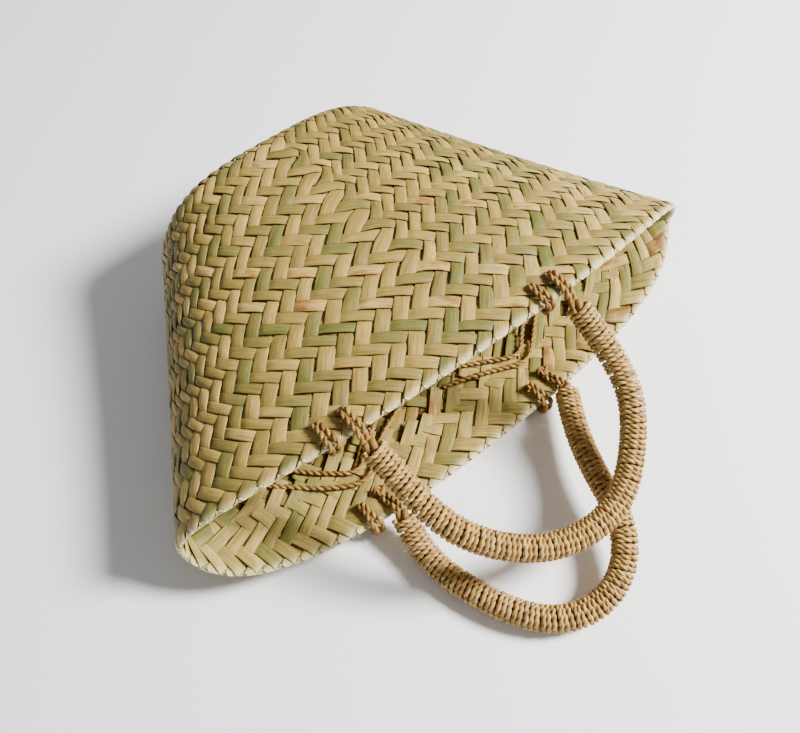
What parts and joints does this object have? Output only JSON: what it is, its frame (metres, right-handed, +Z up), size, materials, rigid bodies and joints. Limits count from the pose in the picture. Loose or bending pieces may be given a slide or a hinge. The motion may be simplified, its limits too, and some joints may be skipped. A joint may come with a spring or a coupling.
{
  "type": "woven market basket",
  "caption": "Soft flared market basket plaited on the bias from flat rush strips, with a turned-in rim and cord-wrapped loop handles, lying on its back wall.",
  "frame": {"origin": "on the table, under the middle of the line from one corner of the mouth to the other", "axes": "+X along the mouth, to the right when looking from the mouth towards the base; +Y from the mouth to the base; +Z up from the table that the back wall lies on"},
  "size_m": [0.3621, 0.3205, 0.088],
  "materials": {
    "plaited_rush": "flat dried rush strips, khaki straw with grain",
    "facing_rush": "cut ends of dried rush strips, paler than the wall",
    "rush_cord": "two-ply twisted rush cord",
    "handle_wrap": "two-ply twisted cord wound tightly round the handle",
    "handle_core": "rope of rush strands"
  },
  "bodies": {
    "basket": {"plaited_shell": "plaited_rush", "turned_in_facing": "facing_rush", "front_left_rim_ties": "rush_cord", "front_right_rim_ties": "rush_cord", "back_left_rim_ties": "rush_cord", "back_right_rim_ties": "rush_cord", "front_left_knot": "rush_cord", "front_right_knot": "rush_cord", "back_left_knot": "rush_cord", "back_right_knot": "rush_cord", "front_left_outer_stay": "rush_cord", "front_left_inner_stay": "rush_cord", "front_right_outer_stay": "rush_cord", "front_right_inner_stay": "rush_cord", "back_left_outer_stay": "rush_cord", "back_left_inner_stay": "rush_cord", "back_right_outer_stay": "rush_cord", "back_right_inner_stay": "rush_cord"},
    "front_handle": {"front_handle_core": "handle_core", "front_handle_wrap": "handle_wrap", "front_left_end_loop": "rush_cord", "front_right_end_loop": "rush_cord"},
    "back_handle": {"back_handle_core": "handle_core", "back_handle_wrap": "handle_wrap", "back_left_end_loop": "rush_cord", "back_right_end_loop": "rush_cord"}
  },
  "joints": [
    {"name": "front_handle_swing", "type": "hinge", "parent": "basket", "child": "front_handle", "pos_m": [-0.0135, -0.0213, 0.08261], "axis": [-0.9988, 0.0461, -0.0166], "range_deg": [0, 150], "deforming": ["front_left_end_loop", "front_right_end_loop"]},
    {"name": "back_handle_swing", "type": "hinge", "parent": "basket", "child": "back_handle", "pos_m": [-0.0125, -0.04123, 0.0081], "axis": [0.9998, -0.0173, -0.0063], "range_deg": [0, 130], "deforming": ["back_left_end_loop", "back_right_end_loop"]}
  ]
}
